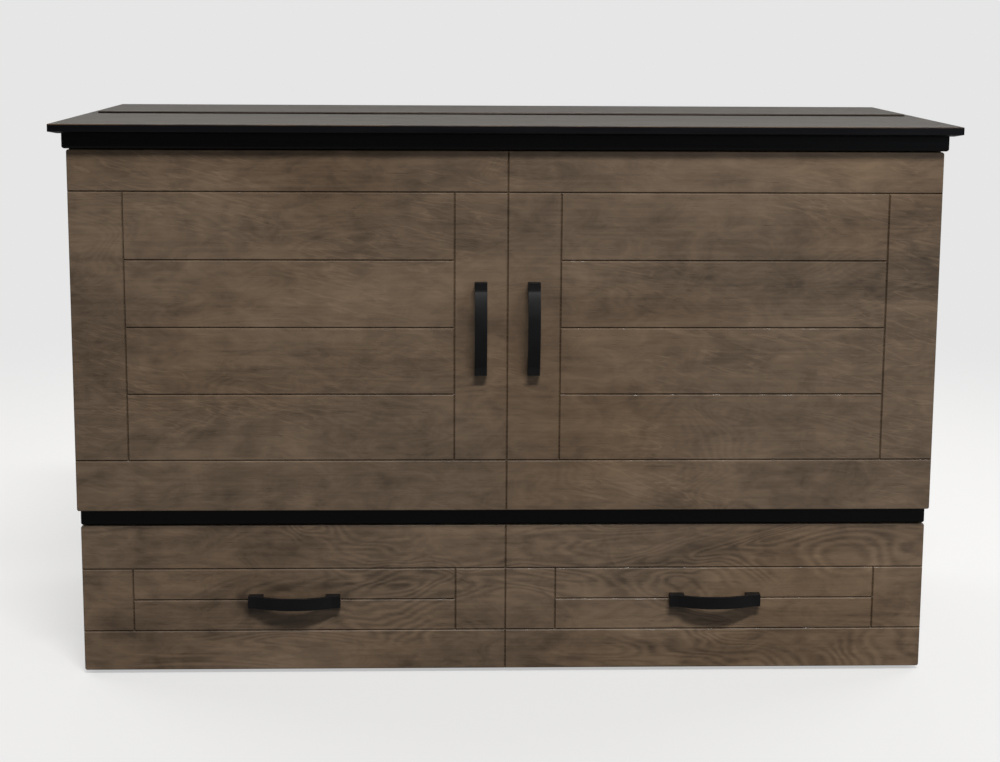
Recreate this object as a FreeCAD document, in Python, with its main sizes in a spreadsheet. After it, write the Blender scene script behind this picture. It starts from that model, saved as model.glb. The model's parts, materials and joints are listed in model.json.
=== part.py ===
"""Cabinet bed: a low chest whose front folds down to carry a tri-fold mattress.

Frame: X across the front, Y from front to back, Z up. The origin is on the floor, under the
middle of the top. The chest is closed: drawer in, front panel up, lid down.
"""
import FreeCAD, Part
import os
import re
import Sketcher

doc = FreeCAD.newDocument("cabinet_bed")
sheet = doc.addObject("Spreadsheet::Sheet", "Sizes")

SIZES = {
    # Overall
    "front_width": 1616,        # over the side panels, and the fronts that cover them
    "top_depth": 640,
    "floor_gap": 8,             # under the sides and the drawer front
    "drawer_front_height": 287,
    "rail_height": 34,
    "door_height": 682.5,
    "moulding_height": 29,
    # Top
    "top_thick": 18,
    "side_overhang": 24,
    "front_overhang": 34,
    "back_overhang": 2,
    "top_bevel_run": 14,
    "top_bevel_drop": 4,
    "top_round": 1.5,
    "moulding_proud": 6,
    "moulding_round": 5,
    "overcut": 1,               # how far a cutting tool runs past what it cuts
    # Boards
    "panel_thick": 18,
    "door_thick": 22,
    "door_stile": 99,
    "door_top_rail": 77,
    "door_bottom_rail": 97.5,
    "drawer_recess": 26,        # drawer front behind the door face
    "drawer_stile": 96,
    "drawer_top_rail": 86,
    "drawer_bottom_rail": 78,
    "front_corner": 4,
    "front_edge_round": 2,
    "groove_half_width": 2.2,
    "groove_depth": 2.6,
    "back_thick": 6,
    "back_inset": 6,
    "stretcher_width": 60,
    "stretcher_thick": 18,
    "cleat_height": 14,
    "cleat_width": 18,
    # Gaps
    "lid_gap": 1,
    "door_gap": 1,
    "front_gap": 2,             # between one front and the next
    "door_lift": 1.5,           # door bottom above the deck
    "swing_gap": 0.8,
    "side_strip_gap": 0.5,
    # Hinges
    "knuckle_radius": 2.8,
    "pin_radius": 1.3,
    "pin_gap": 0.08,
    "leaf_thick": 1.2,
    "leaf_width": 24,
    "knuckle_gap": 0.4,
    "knuckle_lift": 0.4,        # between a knuckle and the boards beside it
    "knuckle_root": 0.1,        # between a knuckle and the edge of its own leaf
    "knuckle_pitch": 60,
    "hinge_inset": 70,
    "seam_knuckle_radius": 2.3,
    "seam_pin_radius": 1,
    "seam_leaf_thick": 1,
    "seam_half_gap": 1.4,
    "seam_leaf_drop": 16,
    "seam_axis_lift": 1.5,
    "seam_hinge_inset": 20,
    "seam_knuckle_root": 0.2,
    "seam_leaf_gap": 0.1,       # between a leaf and the middle of the seam
    # Folding foot panel
    "foot_side_gap": 68,
    "foot_gap": 2,              # from the door, which leaves room for the hinge leaves
    "foot_thick": 22,
    "foot_lift": 7,
    "foot_drop": 11,
    "batten_count": 5,
    "batten_width": 80,
    "batten_thick": 25,
    "batten_end_gap": 15,
    # Handles
    "handle_length": 175,
    "handle_width": 23,
    "handle_reach": 30,
    "handle_foot": 28,
    "handle_foot_thick": 15,
    "handle_strap": 5,
    "handle_strap_bite": 1,     # how far the strap runs past the middle of a foot
    "bolt_radius": 2.1,
    "bolt_head_radius": 4.2,
    "bolt_head_thick": 3,
    "bolt_gap": 0.2,
    "bolt_bite": 6,             # how far a bolt goes into a handle's foot
    # Drawer
    "drawer_board": 15,
    "drawer_back_gap": 32,      # behind the closed drawer
    "drawer_side_gap": 3,
    "drawer_low": 50,
    "drawer_top_gap": 35,       # between the drawer box and the rail's lower edge
    "drawer_bottom_lift": 12,
    "drawer_bottom_thick": 9,
    "guide_thick": 10,
    "guide_low": 60,
    "guide_height": 30,
    "corner_block": 30,
    "corner_block_height": 120,
    "wheel_radius": 25,
    "wheel_width": 18,
    "wheel_inset": 108,
    "wheel_end_inset": 42,
    "wheel_chamfer": 2,
    "axle_radius": 3,
    "axle_gap": 0.08,
    "fork_gap": 1,
    "fork_thick": 2.5,
    "fork_width": 30,
    "fork_plate": 50,
    # Mattress
    "mattress_side_gap": 28,
    "mattress_top_gap": 45.5,   # under the stretcher
    "mattress_back_gap": 41,
    "mattress_gap": 1,
    "mattress_lift": 1.5,
    "mattress_front_gap": 4,
    "web_thick": 1.2,
    "web_half_width": 22,
    "web_inset": 38.1,
    # Small hardware
    "glide_radius": 9,
    "glide_inset": 36,
    "bumper_radius": 5,
    "bumper_thick": 0.7,
    "catch_width": 20,
    "catch_depth": 40,
    "catch_height": 15,
    "catch_drop": 40,
    "plate_thick": 0.8,
    "bracket_leg": 40,
    "bracket_gap": 25,
    "bracket_width": 30,
    "bracket_thick": 2.5,
    "screw_head_radius": 4,
    "screw_head_thick": 1.8,
}

for row, (alias, value) in enumerate(SIZES.items(), start=1):
    sheet.set(f"A{row}", alias)
    sheet.set(f"B{row}", str(value))
    sheet.setAlias(f"B{row}", alias)
doc.recompute()

# Places that several pieces share, worked out from the sizes above
HALF = "(front_width / 2)"
INNER = f"({HALF} - panel_thick)"
DRAWER_TOP = "(floor_gap + drawer_front_height)"
RAIL_LOW = f"({DRAWER_TOP} + front_gap)"
DECK_TOP = f"({RAIL_LOW} + rail_height)"
DOOR_LOW = f"({DECK_TOP} + door_lift)"
DOOR_TOP = f"({DOOR_LOW} + door_height)"
MOULDING_LOW = f"({DOOR_TOP} + front_gap)"
TOP_LOW = f"({MOULDING_LOW} + moulding_height)"
TOP_HIGH = f"({TOP_LOW} + top_thick)"
SIDE_TOP = f"({TOP_LOW} - lid_gap)"

FRONT_EDGE = "(-top_depth / 2)"
DOOR_FACE = f"({FRONT_EDGE} + front_overhang)"
DOOR_BACK = f"({DOOR_FACE} + door_thick)"
SIDE_FRONT = f"({DOOR_BACK} + door_gap)"
BACK_EDGE = "(top_depth / 2 - back_overhang)"
BACK_PANEL = f"({BACK_EDGE} - back_inset - back_thick)"
STRETCHER_FACE = f"({BACK_PANEL} - stretcher_thick)"
SEAM_STRETCHER = ("(seam_half_gap * 3)", "(seam_half_gap * 3 + stretcher_width)")
DRAWER_FACE = f"({DOOR_FACE} + drawer_recess)"
DRAWER_BACK = f"({DRAWER_FACE} + panel_thick)"
LOWER_FRONT = f"({DRAWER_BACK} + door_gap)"

# Hinge axes, all along X. The knuckles clear the door and the deck by the leaf's recess.
KNUCKLE_STEP = "(knuckle_radius + knuckle_lift)"
DECK_AXIS = (f"({DOOR_BACK} + {KNUCKLE_STEP})", f"({DECK_TOP} + {KNUCKLE_STEP})")
RAIL_FACE = f"({DECK_AXIS[0]} + {KNUCKLE_STEP} - door_lift + swing_gap)"
FOOT_FACE = f"({DOOR_BACK} + foot_gap)"
FOOT_BACK = f"({FOOT_FACE} + foot_thick)"
FOOT_LOW = f"({DECK_TOP} + foot_lift)"
FOOT_TOP = f"({DOOR_TOP} - foot_drop)"
FOOT_HALF = f"({HALF} - foot_side_gap)"
FOLD_AXIS = (DECK_AXIS[0], f"({FOOT_TOP} + {KNUCKLE_STEP})")
SEAM_AXIS = ("(0 * top_depth)", f"({TOP_HIGH} + seam_axis_lift)")

X_AXIS = FreeCAD.Rotation(FreeCAD.Vector(0, 1, 0), 90)
Z_AXIS = FreeCAD.Rotation()


def expression(text):
    """Point every size named in the text at its cell of the sheet."""
    return re.sub(r"[a-z_]+", lambda word: "Sizes." + word[0] if word[0] in SIZES else word[0], text)


def value(text):
    """The text's value with the sizes of today."""
    return float(sheet.evalExpression(expression(text)))


def mirrored(sign, low, high):
    """The same stretch of X on the left (-1) or the right (1)."""
    return (low, high) if sign > 0 else (f"-({high})", f"-({low})")


def place(piece, x, y, z):
    for axis, text in zip("xyz", (x, y, z)):
        piece.setExpression(f"Placement.Base.{axis}", expression(text))


def board(label, x, y, z):
    """A plain board, between two planes each way."""
    box = doc.addObject("Part::Box", label)
    for size, (low, high) in zip(("Length", "Width", "Height"), (x, y, z)):
        box.setExpression(size, expression(f"({high}) - ({low})"))
    place(box, x[0], y[0], z[0])
    return box


def rod(label, radius, length, centre, rotation=X_AXIS):
    """A cylinder that starts at centre and runs along X, or as rotation turns it."""
    cylinder = doc.addObject("Part::Cylinder", label)
    cylinder.setExpression("Radius", expression(radius))
    cylinder.setExpression("Height", expression(length))
    cylinder.Placement.Rotation = rotation
    place(cylinder, *centre)
    return cylinder


def fused(label, pieces):
    union = doc.addObject("Part::MultiFuse", label)
    union.Shapes = pieces
    return union


def cut(label, piece, tool):
    remainder = doc.addObject("Part::Cut", label)
    remainder.Base = piece
    remainder.Tool = tool
    return remainder


def group(label, pieces):
    """Identical small pieces that share a node and stay separate solids."""
    compound = doc.addObject("Part::Compound", label)
    compound.Links = pieces
    return compound


def sketch_on(body, role, offset, *outlines):
    """A sketch of closed outlines on one of the body's origin planes, every corner bound."""
    sketch = body.newObject("Sketcher::SketchObject", body.Name + "_outline")
    plane = next(item for item in body.Origin.OriginFeatures if item.Role == role)
    sketch.AttachmentSupport = [(plane, "")]
    sketch.MapMode = "FlatFace"
    sketch.setExpression("AttachmentOffset.Base.z", expression(offset))
    for corners in outlines:
        first = sketch.GeometryCount
        points = [FreeCAD.Vector(value(u), value(v), 0) for u, v in corners]
        for start, end in zip(points, points[1:] + points[:1]):
            sketch.addGeometry(Part.LineSegment(start, end), False)
        for step, corner in enumerate(corners):
            follower = first + (step + 1) % len(corners)
            sketch.addConstraint(Sketcher.Constraint("Coincident", first + step, 2, follower, 1))
            for kind, text in zip(("DistanceX", "DistanceY"), corner):
                number = sketch.addConstraint(Sketcher.Constraint(kind, first + step, 1, value(text)))
                sketch.setExpression(f"Constraints[{number}]", expression(text))
    return sketch


def rectangle(u, v):
    return [(u[0], v[0]), (u[1], v[0]), (u[1], v[1]), (u[0], v[1])]


def pad(body, sketch, length):
    feature = body.newObject("PartDesign::Pad", body.Name + "_pad")
    feature.Profile = sketch
    feature.setExpression("Length", expression(length))
    doc.recompute()
    return feature


def pocket(body, sketch, length):
    """Cut the sketch's outlines to half the length on each side of its plane."""
    before = body.Shape.Volume
    feature = body.newObject("PartDesign::Pocket", body.Name + "_pocket")
    feature.Profile = sketch
    feature.Midplane = True
    feature.setExpression("Length", expression(length))
    doc.recompute()
    if feature.Shape.Volume >= before:
        raise RuntimeError(f"{feature.Name} cuts nothing")
    return feature


def round_edges(body, base, radius, chosen):
    """Fillet the edges of base for which chosen(low corner, high corner) holds."""
    names = []
    for number, edge in enumerate(base.Shape.Edges, start=1):
        box = edge.BoundBox
        if chosen((box.XMin, box.YMin, box.ZMin), (box.XMax, box.YMax, box.ZMax)):
            names.append(f"Edge{number}")
    feature = body.newObject("PartDesign::Fillet", body.Name + "_fillet")
    feature.Base = (base, names)
    feature.setExpression("Radius", expression(radius))
    doc.recompute()
    return feature


def near(first, second):
    return abs(first - second) < 0.01


def front_board(label, face, thick, low, high):
    """A full-width front: rounded corners, and a small round along its front edges."""
    body = doc.addObject("PartDesign::Body", label)
    outline = rectangle((f"-{HALF}", HALF), (low, high))
    slab = pad(body, sketch_on(body, "XZ_Plane", f"-({face} + {thick})", outline), thick)
    corners = round_edges(body, slab, "front_corner",
                          lambda a, b: near(b[1] - a[1], value(thick)))
    round_edges(body, corners, "front_edge_round",
                lambda a, b: near(a[1], value(face)) and near(b[1], value(face)))
    return body


def groove_across(face, z):
    """Section of a groove that runs along X, as seen from the side."""
    return [(f"{face} - groove_depth", f"{z} - 2 * groove_half_width"),
            (f"{face} + groove_depth", z),
            (f"{face} - groove_depth", f"{z} + 2 * groove_half_width")]


def groove_up(face, x):
    """Section of a groove that runs along Z, as seen from above."""
    return [(f"{x} - 2 * groove_half_width", f"{face} - groove_depth"),
            (x, f"{face} + groove_depth"),
            (f"{x} + 2 * groove_half_width", f"{face} - groove_depth")]


def groove_front(body, face, low, high, stile, bottom_rail, top_rail, planks):
    """V grooves that make one board look like two framed, planked doors."""
    lower = f"({low} + {bottom_rail})"
    upper = f"({high} - {top_rail})"
    across = [groove_across(face, lower), groove_across(face, upper)]
    pocket(body, sketch_on(body, "YZ_Plane", "0", *across), "front_width + 2 * overcut")
    pocket(body, sketch_on(body, "XY_Plane", f"({low} + {high}) / 2", groove_up(face, "0")),
           f"{high} - {low} + 2 * overcut")
    stiles = [f"{sign} * {x}" for sign in (-1, 1) for x in (stile, f"({HALF} - {stile})")]
    pocket(body, sketch_on(body, "XY_Plane", f"({lower} + {upper}) / 2",
                           *[groove_up(face, x) for x in stiles]), f"{upper} - {lower}")
    levels = [f"({lower} + {step} * ({upper} - {lower}) / {planks})" for step in range(1, planks)]
    for sign in (-1, 1):
        field = [groove_across(face, level) for level in levels]
        pocket(body, sketch_on(body, "YZ_Plane", f"{sign} * {HALF} / 2", *field),
               f"{HALF} - 2 * {stile}")


def bolt_places(along_z, centre):
    """The two bolts of a handle, one in each foot."""
    reach = "(handle_length - handle_foot) / 2"
    x, z = centre
    if along_z:
        return [(x, f"{z} + {sign} * {reach}") for sign in (-1, 1)]
    return [(f"{x} + {sign} * {reach}", z) for sign in (-1, 1)]


def bolt_rods(label, face, thick, centres, extra):
    """Bolts through a front into its handles, with heads let into the back of the board."""
    along_y = FreeCAD.Rotation(FreeCAD.Vector(1, 0, 0), 90)
    back = f"{face} + {thick}"
    rods = []
    for number, (x, z) in enumerate(centres, start=1):
        shank = rod(f"{label}_shank_{number}", f"bolt_radius + {extra}",
                    f"{thick} + bolt_bite + {extra}", (x, back, z), along_y)
        head = rod(f"{label}_head_{number}", f"bolt_head_radius + {extra}",
                   f"bolt_head_thick + {extra}", (x, back, z), along_y)
        rods.append(fused(f"{label}_{number}", [shank, head]))
    return rods


def handle(label, face, centre, along_z, bolts):
    """A flat bow of strap on two square feet, bored for its bolts."""
    half = "handle_length / 2"
    reach = "(handle_length / 2 - handle_foot / 2 + handle_strap_bite)"
    rise = "(handle_reach - handle_foot_thick)"
    radius = f"(({reach} * {reach} + {rise} * {rise}) / (2 * {rise}))"
    width = ("-handle_width / 2", "handle_width / 2")
    middle = ("0", f"{radius} - handle_reach", width[0])
    outer = rod(label + "_outer", radius, "handle_width", middle, Z_AXIS)
    inner = rod(label + "_inner", f"{radius} - handle_strap", "handle_width", middle, Z_AXIS)
    ring = cut(label + "_ring", outer, inner)
    window = board(label + "_window", (f"-{reach}", reach),
                   ("-handle_reach - overcut", "-handle_foot_thick / 2"), width)
    bow = doc.addObject("Part::MultiCommon", label + "_bow")
    bow.Shapes = [ring, window]
    feet = [board(f"{label}_foot_{sign}", mirrored(sign, f"{half} - handle_foot", half),
                  ("-handle_foot_thick", "0"), width) for sign in (-1, 1)]
    blank = fused(label + "_blank", [bow] + feet)
    if along_z:
        blank.Placement.Rotation = FreeCAD.Rotation(FreeCAD.Vector(0, 1, 0), 90)
    place(blank, centre[0], face, centre[1])
    return cut(label, blank, fused(label + "_holes", bolts))


def hinge_leaf(label, axis, reach, own, sizes, leaf, tab):
    """One half of a long hinge: a leaf, and every other knuckle joined to it by a tab."""
    knuckle, pin = sizes
    count = 2 * round(value(reach) / SIZES["knuckle_pitch"]) + 1
    pitch = f"(2 * {reach} / {count})"
    pieces = [board(label + "_plate", (f"-{reach}", reach), *leaf)]
    for step in range(own, count, 2):
        start = f"(-{reach} + {step} * {pitch} + knuckle_gap / 2)"
        length = f"{pitch} - knuckle_gap"
        pieces.append(rod(f"{label}_knuckle_{step}", knuckle, length, (start, *axis)))
        pieces.append(board(f"{label}_tab_{step}", (start, f"{start} + {length}"), *tab))
    bore = rod(label + "_bore", f"{pin} + pin_gap", f"2 * {reach} + 2 * overcut",
               (f"-{reach} - overcut", *axis))
    return cut(label, fused(label + "_blank", pieces), bore)


def hinge_pin(label, axis, reach, pin):
    return rod(label, pin, f"2 * {reach}", (f"-{reach}", *axis))


# --- Carcass ---------------------------------------------------------------------------------

def side_panel(name, sign):
    """A side, set back below the deck so that the drawer front and rail cover its edge."""
    body = doc.addObject("PartDesign::Body", f"side_panel_{name}")
    outline = [(LOWER_FRONT, "floor_gap"), (BACK_EDGE, "floor_gap"), (BACK_EDGE, SIDE_TOP),
               (SIDE_FRONT, SIDE_TOP), (SIDE_FRONT, DECK_AXIS[1]), (LOWER_FRONT, DECK_AXIS[1])]
    start = mirrored(sign, INNER, HALF)[0]
    pad(body, sketch_on(body, "YZ_Plane", start, outline), "panel_thick")
    return body


def carcass():
    inside = (f"-{INNER}", INNER)
    pieces = [side_panel("left", -1), side_panel("right", 1)]
    pieces.append(board("back_panel", inside, (BACK_PANEL, f"{BACK_PANEL} + back_thick"),
                        ("floor_gap + stretcher_width", SIDE_TOP)))
    stretcher = (STRETCHER_FACE, BACK_PANEL)
    pieces.append(board("top_back_stretcher", inside, stretcher,
                        (f"{TOP_LOW} - stretcher_width", TOP_LOW)))
    pieces.append(board("floor_back_stretcher", inside, stretcher,
                        ("floor_gap", "floor_gap + stretcher_width")))
    pieces.append(board("seam_stretcher", inside, SEAM_STRETCHER,
                        (f"{TOP_LOW} - stretcher_thick", TOP_LOW)))
    pieces.append(board("deck_board", inside, (LOWER_FRONT, BACK_PANEL),
                        (f"{DECK_TOP} - panel_thick", DECK_TOP)))
    pieces.append(front_board("front_rail", RAIL_FACE, f"({LOWER_FRONT} - {RAIL_FACE})",
                              RAIL_LOW, DECK_TOP))
    cleat = (f"{DECK_TOP} - panel_thick - cleat_height", f"{DECK_TOP} - panel_thick")
    pieces.append(group("deck_cleats", [
        board(f"deck_cleat_{sign}", mirrored(sign, f"{INNER} - cleat_width", INNER),
              (LOWER_FRONT, STRETCHER_FACE), cleat) for sign in (-1, 1)]))
    pieces.append(group("drawer_guides", [
        board(f"drawer_guide_{sign}", mirrored(sign, f"{INNER} - guide_thick", INNER),
              (LOWER_FRONT, STRETCHER_FACE),
              ("guide_low", "guide_low + guide_height")) for sign in (-1, 1)]))
    return pieces


def carcass_hardware():
    corners = [(x, y) for x in (-1, 1) for y in (f"{LOWER_FRONT} + glide_inset",
                                               f"{BACK_EDGE} - glide_inset")]
    glides = group("floor_glides", [
        rod(f"floor_glide_{n}", "glide_radius", "floor_gap",
            (f"{x} * ({HALF} - panel_thick / 2)", y, "0"), Z_AXIS)
        for n, (x, y) in enumerate(corners, start=1)])
    spots = [(x, y) for x in (-1, 1) for y in (f"{SIDE_FRONT} / 4", f"{SIDE_FRONT} * 3 / 4")]
    bumpers = group("lid_bumpers", [
        rod(f"lid_bumper_{n}", "bumper_radius", "bumper_thick",
            (f"{x} * ({HALF} - panel_thick / 2)", y, SIDE_TOP), Z_AXIS)
        for n, (x, y) in enumerate(spots, start=1)])
    high = f"({DOOR_TOP} - catch_drop)"
    catches = group("magnetic_catches", [
        board(f"magnetic_catch_{sign}", mirrored(sign, f"{INNER} - catch_width", INNER),
              (SIDE_FRONT, f"{SIDE_FRONT} + catch_depth"), (f"{high} - catch_height", high))
        for sign in (-1, 1)])
    brackets = []
    screws = []
    for sign in (-1, 1):
        for number, y in enumerate((f"({SEAM_STRETCHER[1]} + bracket_gap)",
                                    f"({STRETCHER_FACE} - bracket_gap - bracket_width)"), start=1):
            stretch = (y, f"{y} + bracket_width")
            name = f"{sign}_{number}"
            upright = board("bracket_upright_" + name,
                            mirrored(sign, f"{INNER} - bracket_thick", INNER), stretch,
                            (f"{TOP_LOW} - bracket_leg", TOP_LOW))
            flat = board("bracket_flat_" + name, mirrored(sign, f"{INNER} - bracket_leg", INNER),
                         stretch, (f"{TOP_LOW} - bracket_thick", TOP_LOW))
            brackets.append(fused("bracket_" + name, [upright, flat]))
            start = mirrored(sign, f"{INNER} - bracket_thick - screw_head_thick",
                             f"{INNER} - bracket_thick")[0]
            screws.append(rod("bracket_side_screw_" + name, "screw_head_radius", "screw_head_thick",
                              (start, f"{y} + bracket_width / 2", f"{TOP_LOW} - bracket_leg * 2 / 3")))
            screws.append(rod("bracket_top_screw_" + name, "screw_head_radius", "screw_head_thick",
                              (f"{sign} * ({INNER} - bracket_leg * 2 / 3)", f"{y} + bracket_width / 2",
                               f"{TOP_LOW} - bracket_thick - screw_head_thick"), Z_AXIS))
    return [glides, bumpers, catches, group("corner_brackets", brackets),
            group("bracket_screws", screws)]


# --- Top: a fixed rear leaf and a front leaf that folds back over it ---------------------------

def top_leaf(label, front, back, bevelled):
    """A slab with a bevel under its outer edges; bevelled says how much at the front."""
    body = doc.addObject("PartDesign::Body", label)
    half = f"({HALF} + side_overhang)"
    low_x = (f"-({half} - top_bevel_run)", f"{half} - top_bevel_run")
    lower = sketch_on(body, "XY_Plane", TOP_LOW, rectangle(low_x, (f"{front} + {bevelled}", back)))
    upper = sketch_on(body, "XY_Plane", f"{TOP_LOW} + top_bevel_drop",
                      rectangle((f"-{half}", half), (front, back)))
    bevel = body.newObject("PartDesign::AdditiveLoft", label + "_bevel")
    bevel.Profile = lower
    bevel.Sections = [upper]
    bevel.Ruled = True
    doc.recompute()
    slab = pad(body, upper, "top_thick - top_bevel_drop")
    round_edges(body, slab, "top_round",
                lambda a, b: near(a[2], value(TOP_HIGH)) and near(b[2], value(TOP_HIGH)))
    return body


def moulding(label, x, y, rounded):
    """A strip under the top, round along the lower edges that rounded picks."""
    body = doc.addObject("PartDesign::Body", label)
    strip = pad(body, sketch_on(body, "XY_Plane", MOULDING_LOW, rectangle(x, y)), "moulding_height")
    round_edges(body, strip, "moulding_round",
                lambda a, b: near(b[2], value(MOULDING_LOW)) and rounded(a, b))
    return body


def side_moulding(label, sign, y):
    x = mirrored(sign, f"{HALF} + side_strip_gap", f"{HALF} + moulding_proud")
    outer = sign * value(f"{HALF} + moulding_proud")
    return moulding(label, x, y, lambda a, b: near(a[0], outer) and near(b[0], outer))


def front_moulding():
    half = f"({HALF} + moulding_proud)"
    face = f"({DOOR_FACE} - moulding_proud)"
    ends = (value(f"-{half}"), value(half))
    front = value(face)

    def outside(a, b):
        return near(b[1], front) or near(b[0], ends[0]) or near(a[0], ends[1])
    return moulding("front_moulding", (f"-{half}", half), (face, DOOR_BACK), outside)


def seam_hinge():
    """The long hinge between the two leaves of the top, let into their meeting edges."""
    reach = f"({HALF} + side_overhang - seam_hinge_inset)"
    sizes = ("seam_knuckle_radius", "seam_pin_radius")
    high = f"({SEAM_AXIS[1]} - seam_knuckle_radius - seam_knuckle_root)"
    near_pin = "(seam_half_gap - seam_leaf_gap - seam_leaf_thick)"
    far = "(seam_half_gap - seam_leaf_gap)"
    halves = []
    for name, sign, own in (("front", -1, 1), ("rear", 1, 0)):
        y = mirrored(sign, near_pin, far)
        halves.append(hinge_leaf(f"seam_hinge_{name}_leaf", SEAM_AXIS, reach, own, sizes,
                                 (y, (f"{high} - seam_leaf_drop", high)),
                                 (y, (high, SEAM_AXIS[1]))))
    return halves + [hinge_pin("seam_hinge_pin", SEAM_AXIS, reach, "seam_pin_radius")]


def top():
    gap = "seam_half_gap"
    pieces = [top_leaf("top_front_leaf", FRONT_EDGE, f"-{gap}", "top_bevel_run"),
              top_leaf("top_rear_leaf", gap, "top_depth / 2", "0"),
              front_moulding()]
    for name, sign in (("left", -1), ("right", 1)):
        pieces.append(side_moulding(f"front_side_moulding_{name}", sign,
                                    (DOOR_BACK, f"-{gap}")))
        pieces.append(side_moulding(f"rear_side_moulding_{name}", sign, (gap, BACK_EDGE)))
    return pieces + seam_hinge()


# --- Front panel, the folded foot panel on its back, and their hinges ---------------------------

def front_panel():
    handles = {name: f"{sign} * door_stile / 2" for name, sign in (("left", -1), ("right", 1))}
    level = f"(({DOOR_LOW} + door_bottom_rail + {DOOR_TOP} - door_top_rail) / 2)"
    centres = [spot for x in handles.values() for spot in bolt_places(True, (x, level))]
    blank = front_board("front_panel_blank", DOOR_FACE, "door_thick", DOOR_LOW, DOOR_TOP)
    groove_front(blank, DOOR_FACE, DOOR_LOW, DOOR_TOP, "door_stile",
                 "door_bottom_rail", "door_top_rail", 4)
    holes = bolt_rods("door_bolt_hole", DOOR_FACE, "door_thick", centres, "bolt_gap")
    pieces = [cut("front_panel_board", blank, fused("door_bolt_holes", holes))]
    for number, (name, x) in enumerate(handles.items()):
        pieces.append(handle(f"door_handle_{name}", DOOR_FACE, (x, level), True,
                             holes[2 * number:2 * number + 2]))
    pieces.append(group("door_handle_bolts",
                        bolt_rods("door_bolt", DOOR_FACE, "door_thick", centres, "0")))
    high = f"({DOOR_TOP} - catch_drop)"
    pieces.append(group("strike_plates", [
        board(f"strike_plate_{sign}", mirrored(sign, f"{INNER} - catch_width", INNER),
              (DOOR_BACK, f"{DOOR_BACK} + plate_thick"), (f"{high} - catch_height", high))
        for sign in (-1, 1)]))
    return pieces


def foot_panel():
    wide = (f"-{FOOT_HALF}", FOOT_HALF)
    panel = board("foot_panel", wide, (FOOT_FACE, FOOT_BACK), (FOOT_LOW, FOOT_TOP))
    depth = (FOOT_BACK, f"{FOOT_BACK} + batten_thick")
    battens = []
    count = round(value("batten_count"))
    for number in range(count):
        middle = f"({2 * number / (count - 1) - 1} * ({FOOT_HALF} - batten_width))"
        battens.append(board(f"foot_batten_{number}", (f"{middle} - batten_width / 2",
                                                       f"{middle} + batten_width / 2"), depth,
                             (f"{FOOT_LOW} + batten_end_gap", f"{FOOT_TOP} - batten_end_gap")))
    return [panel, group("foot_panel_battens", battens)]


def door_hinges():
    """The hinge under the front panel, and the one at its top that the foot panel folds on."""
    sizes = ("knuckle_radius", "pin_radius")
    reach = f"({HALF} - hinge_inset)"
    clear = "(knuckle_radius + knuckle_root)"
    on_door = (DOOR_BACK, f"{DOOR_BACK} + leaf_thick")
    tab_on_door = (f"{DOOR_BACK} + knuckle_lift", f"{DOOR_BACK} + knuckle_lift + leaf_thick")
    y, z = DECK_AXIS
    pieces = [
        hinge_leaf("deck_hinge_door_leaf", DECK_AXIS, reach, 1, sizes,
                   (on_door, (f"{z} + {clear}", f"{z} + leaf_width")),
                   (tab_on_door, (z, f"{z} + {clear}"))),
        hinge_leaf("deck_hinge_deck_leaf", DECK_AXIS, reach, 0, sizes,
                   ((f"{y} + {clear}", f"{y} + leaf_width"), (DECK_TOP, f"{DECK_TOP} + leaf_thick")),
                   ((y, f"{y} + {clear}"),
                    (f"{DECK_TOP} + knuckle_lift", f"{DECK_TOP} + knuckle_lift + leaf_thick"))),
        hinge_pin("deck_hinge_pin", DECK_AXIS, reach, "pin_radius")]
    y, z = FOLD_AXIS
    pieces += [
        hinge_leaf("fold_hinge_door_leaf", FOLD_AXIS, reach, 1, sizes,
                   (on_door, (f"{z} - leaf_width", f"{z} - {clear}")),
                   (tab_on_door, (f"{z} - {clear}", z))),
        hinge_leaf("fold_hinge_foot_leaf", FOLD_AXIS, reach, 0, sizes,
                   ((f"{y} + {clear}", FOOT_BACK), (FOOT_TOP, f"{FOOT_TOP} + leaf_thick")),
                   ((y, f"{y} + {clear}"),
                    (f"{FOOT_TOP} + knuckle_lift", f"{FOOT_TOP} + knuckle_lift + leaf_thick"))),
        hinge_pin("fold_hinge_pin", FOLD_AXIS, reach, "pin_radius")]
    return pieces


# --- Mattress: three sections on edge, joined by two strips of webbing --------------------------

def mattress():
    half = f"({INNER} - mattress_side_gap)"
    low = f"({DECK_TOP} + mattress_lift)"
    high = f"({TOP_LOW} - stretcher_thick - mattress_top_gap)"
    front = f"({FOOT_BACK} + batten_thick + mattress_front_gap)"
    back = f"({STRETCHER_FACE} - mattress_back_gap)"
    pitch = f"(({back} - {front} + mattress_gap) / 3)"
    pieces = []
    for number, name in enumerate(("foot", "middle", "head")):
        start = f"({front} + {number} * {pitch})"
        pieces.append(board(f"mattress_{name}", (f"-{half}", half),
                            (start, f"{start} + {pitch} - mattress_gap"), (low, high)))
    webs = (("upper", 1, (high, f"{high} + web_thick")), ("lower", 2, (f"{low} - web_thick", low)))
    for name, joint, z in webs:
        middle = f"({front} + {joint} * {pitch} - mattress_gap / 2)"
        pieces.append(board(f"mattress_{name}_webbing", (f"web_inset - {half}", f"{half} - web_inset"),
                            (f"{middle} - web_half_width", f"{middle} + web_half_width"), z))
    return pieces


# --- Drawer on wheels ---------------------------------------------------------------------------

OUTSIDE = f"({INNER} - guide_thick - drawer_side_gap)"
INSIDE = f"({OUTSIDE} - drawer_board)"
BOX_END = f"({STRETCHER_FACE} - drawer_back_gap)"
BOX_BACK = f"({BOX_END} - drawer_board)"
BOTTOM_LOW = "(drawer_low + drawer_bottom_lift)"
BOTTOM_TOP = f"({BOTTOM_LOW} + drawer_bottom_thick)"
BOX_TOP = f"({RAIL_LOW} - drawer_top_gap)"


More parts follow.
